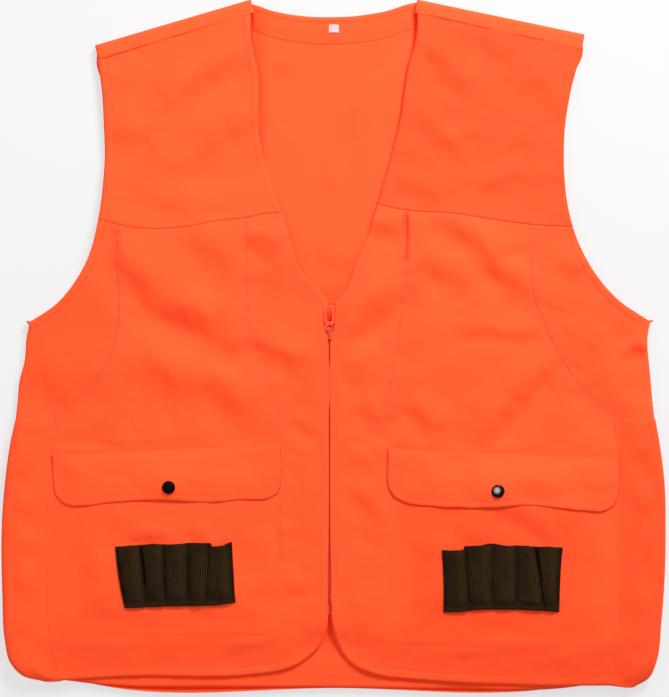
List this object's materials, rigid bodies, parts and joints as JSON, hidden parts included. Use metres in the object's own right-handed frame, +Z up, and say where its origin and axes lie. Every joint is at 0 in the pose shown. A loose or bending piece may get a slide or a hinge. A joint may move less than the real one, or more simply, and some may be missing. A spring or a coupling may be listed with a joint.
{
  "type": "hunting vest",
  "caption": "Blaze orange hunting vest with a V neck, zip front, flapped pockets with snaps, elastic shell loops and a rear game bag, lying flat on its back.",
  "frame": {"origin": "on the table under the middle of the vest's length and width", "axes": "+X towards the wearer's left, +Y towards the neck, +Z up out of the vest's front"},
  "size_m": [0.698, 0.722, 0.0346],
  "materials": {
    "shell_fabric": "plain-woven blaze orange cloth, matt with a faint sheen",
    "yoke_fabric": "the same blaze orange cloth, doubled at the shoulders",
    "facing_fabric": "orange facing and binding cloth",
    "zip_tape": "woven orange zip tape",
    "elastic": "dark brown knitted elastic",
    "zip_plastic": "moulded orange plastic",
    "zip_metal": "orange enamel",
    "snap_cap": "black enamel, glossy",
    "snap_metal": "nickel-plated",
    "label": "white satin ribbon"
  },
  "bodies": {
    "vest": {"back_panel": "shell_fabric", "game_bag_back": "shell_fabric", "game_bag_side_left": "shell_fabric", "game_bag_side_right": "shell_fabric", "front_panel_left": "shell_fabric", "front_panel_right": "shell_fabric", "side_panel_left": "shell_fabric", "side_panel_right": "shell_fabric", "underarm_fold_left": "shell_fabric", "underarm_fold_right": "shell_fabric", "side_fold_left": "shell_fabric", "side_fold_right": "shell_fabric", "pocket_gusset_left": "shell_fabric", "pocket_gusset_right": "shell_fabric", "pocket_front_left": "shell_fabric", "pocket_front_right": "shell_fabric", "back_yoke": "yoke_fabric", "front_yoke_left": "yoke_fabric", "front_yoke_right": "yoke_fabric", "neck_facing": "facing_fabric", "front_facing_left": "facing_fabric", "front_facing_right": "facing_fabric", "armhole_binding_front_left": "facing_fabric", "armhole_binding_front_right": "facing_fabric", "armhole_binding_back_left": "facing_fabric", "armhole_binding_back_right": "facing_fabric", "shell_loops_left": "elastic", "shell_loops_right": "elastic", "snap_stud_left": "snap_metal", "snap_stud_right": "snap_metal", "snap_post_left": "snap_metal", "snap_post_right": "snap_metal", "size_label": "label"},
    "edge_left": {"front_edge_left": "shell_fabric", "edge_facing_left": "facing_fabric", "zip_tape_left": "zip_tape", "zip_teeth_left": "zip_plastic", "zip_top_stop_left": "zip_plastic", "zip_pin": "zip_plastic"},
    "edge_right": {"front_edge_right": "shell_fabric", "edge_facing_right": "facing_fabric", "zip_tape_right": "zip_tape", "zip_teeth_right": "zip_plastic", "zip_top_stop_right": "zip_plastic", "zip_box": "zip_plastic"},
    "slider": {"zip_slider": "zip_metal"},
    "pull": {"zip_pull": "zip_metal"},
    "flap_left": {"pocket_flap_left": "shell_fabric", "snap_cap_left": "snap_cap", "snap_socket_left": "snap_metal"},
    "flap_right": {"pocket_flap_right": "shell_fabric", "snap_cap_right": "snap_cap", "snap_socket_right": "snap_metal"}
  },
  "joints": [
    {"name": "edge_left_fold", "type": "hinge", "parent": "vest", "child": "edge_left", "pos_m": [0.016, -0.361, 0.0192], "axis": [0.0992, 0.9951, 0], "range_deg": [0, 105]},
    {"name": "edge_right_fold", "type": "hinge", "parent": "vest", "child": "edge_right", "pos_m": [-0.028, -0.361, 0.0192], "axis": [0.0828, -0.9966, 0], "range_deg": [0, 105]},
    {"name": "zip_slide", "type": "slide", "parent": "edge_right", "child": "slider", "axis": [0, -1, 0], "range_m": [0, 0.275], "deforming": ["zip_teeth_left", "zip_teeth_right"]},
    {"name": "pull_swing", "type": "hinge", "parent": "slider", "child": "pull", "pos_m": [-0.006, 0.018, 0.0202], "axis": [1, 0, 0], "range_deg": [0, 160]},
    {"name": "flap_left_lift", "type": "hinge", "parent": "vest", "child": "flap_left", "pos_m": [0.176, -0.107, 0.0209], "axis": [-1, 0, 0], "range_deg": [0, 140]},
    {"name": "flap_right_lift", "type": "hinge", "parent": "vest", "child": "flap_right", "pos_m": [-0.176, -0.107, 0.0209], "axis": [-1, 0, 0], "range_deg": [0, 140]}
  ]
}
